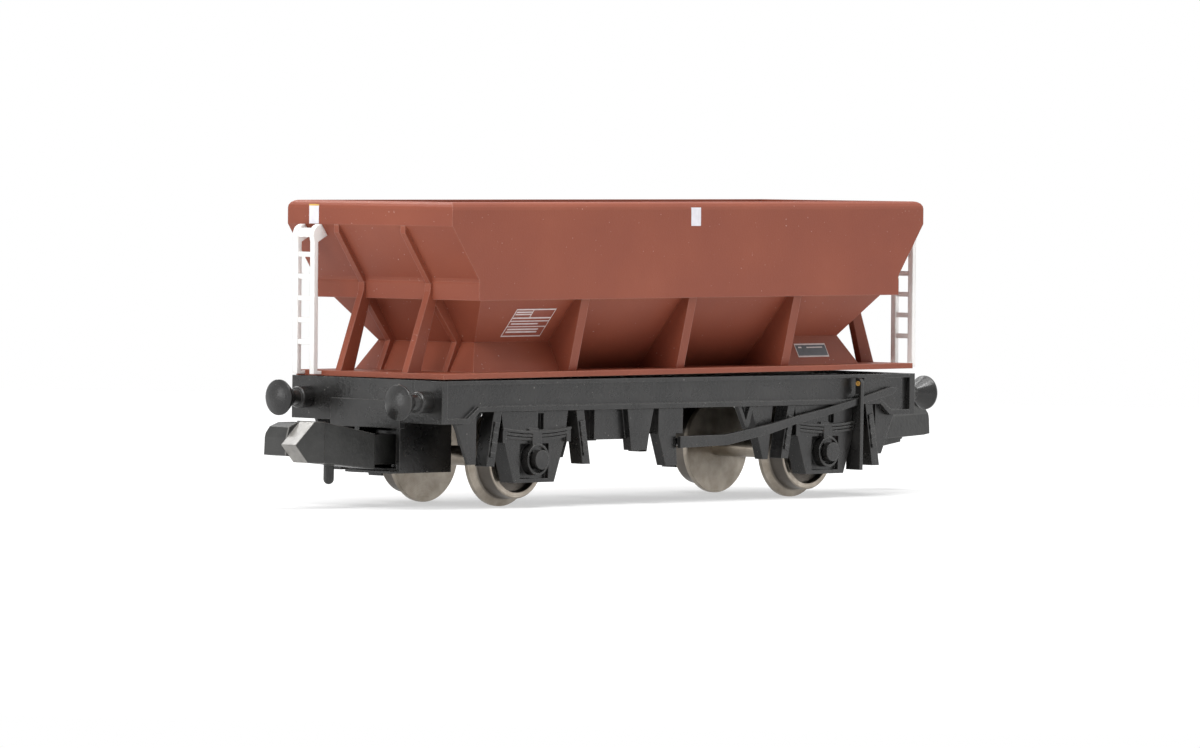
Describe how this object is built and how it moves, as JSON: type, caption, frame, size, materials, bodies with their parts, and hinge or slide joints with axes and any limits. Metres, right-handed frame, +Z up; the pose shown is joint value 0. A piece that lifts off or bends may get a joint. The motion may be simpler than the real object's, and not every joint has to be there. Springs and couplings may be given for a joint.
{
  "type": "open hopper wagon",
  "caption": "Small-scale model of an open-topped mineral hopper wagon on two wheelsets, with ladders at opposite corners, buffers and swinging box-headed couplings.",
  "frame": {"origin": "on the floor under the middle of the wagon, at the bottom centre of its bounding box", "axes": "+X along the wagon towards end B, +Y towards its left side, +Z up"},
  "size_m": [0.0744, 0.0172, 0.0234],
  "materials": {
    "body_plastic": "matt moulded plastic, bauxite brown",
    "frame_plastic": "satin black moulded plastic",
    "ladder_plastic": "white painted plastic",
    "wheel_metal": "turned and lightly blackened metal",
    "ballast_steel": "plain steel plate"
  },
  "bodies": {
    "wagon": {"hopper": "body_plastic", "floor_plate": "body_plastic", "chute_a": "body_plastic", "chute_b": "body_plastic", "side_ribs_right": "body_plastic", "side_ribs_left": "body_plastic", "end_ribs_a": "body_plastic", "end_ribs_b": "body_plastic", "end_struts_a": "body_plastic", "end_struts_b": "body_plastic", "ladder_a": "ladder_plastic", "ladder_b": "ladder_plastic", "underframe": "frame_plastic", "solebar_right": "frame_plastic", "solebar_left": "frame_plastic", "headstock_a": "frame_plastic", "headstock_b": "frame_plastic", "ballast_plate": "ballast_steel", "axleguard_a_right": "frame_plastic", "axleguard_a_left": "frame_plastic", "axleguard_b_right": "frame_plastic", "axleguard_b_left": "frame_plastic", "brake_gear_right": "frame_plastic", "brake_gear_left": "frame_plastic", "brake_lever_right": "frame_plastic", "brake_lever_left": "frame_plastic", "coupler_pocket_a": "frame_plastic", "coupler_pocket_b": "frame_plastic", "buffer_a_right": "frame_plastic", "buffer_a_left": "frame_plastic", "buffer_b_right": "frame_plastic", "buffer_b_left": "frame_plastic"},
    "wheelset_a": {"axle_a": "wheel_metal", "wheel_a_right": "wheel_metal", "wheel_a_left": "wheel_metal"},
    "wheelset_b": {"axle_b": "wheel_metal", "wheel_b_right": "wheel_metal", "wheel_b_left": "wheel_metal"},
    "coupling_arm_a": {"coupling_a": "frame_plastic"},
    "coupling_arm_b": {"coupling_b": "frame_plastic"}
  },
  "joints": [
    {"name": "wheelset_a_roll", "type": "hinge", "parent": "wagon", "child": "wheelset_a", "pos_m": [-0.017, 0, 0.0037], "axis": [0, 1, 0], "continuous": true},
    {"name": "wheelset_b_roll", "type": "hinge", "parent": "wagon", "child": "wheelset_b", "pos_m": [0.017, 0, 0.0037], "axis": [0, 1, 0], "continuous": true},
    {"name": "coupling_a_swing", "type": "hinge", "parent": "wagon", "child": "coupling_arm_a", "pos_m": [-0.0242, 0, 0.0045], "axis": [0, 0, 1], "range_deg": [-12, 12]},
    {"name": "coupling_b_swing", "type": "hinge", "parent": "wagon", "child": "coupling_arm_b", "pos_m": [0.0242, 0, 0.0045], "axis": [0, 0, 1], "range_deg": [-12, 12]}
  ]
}
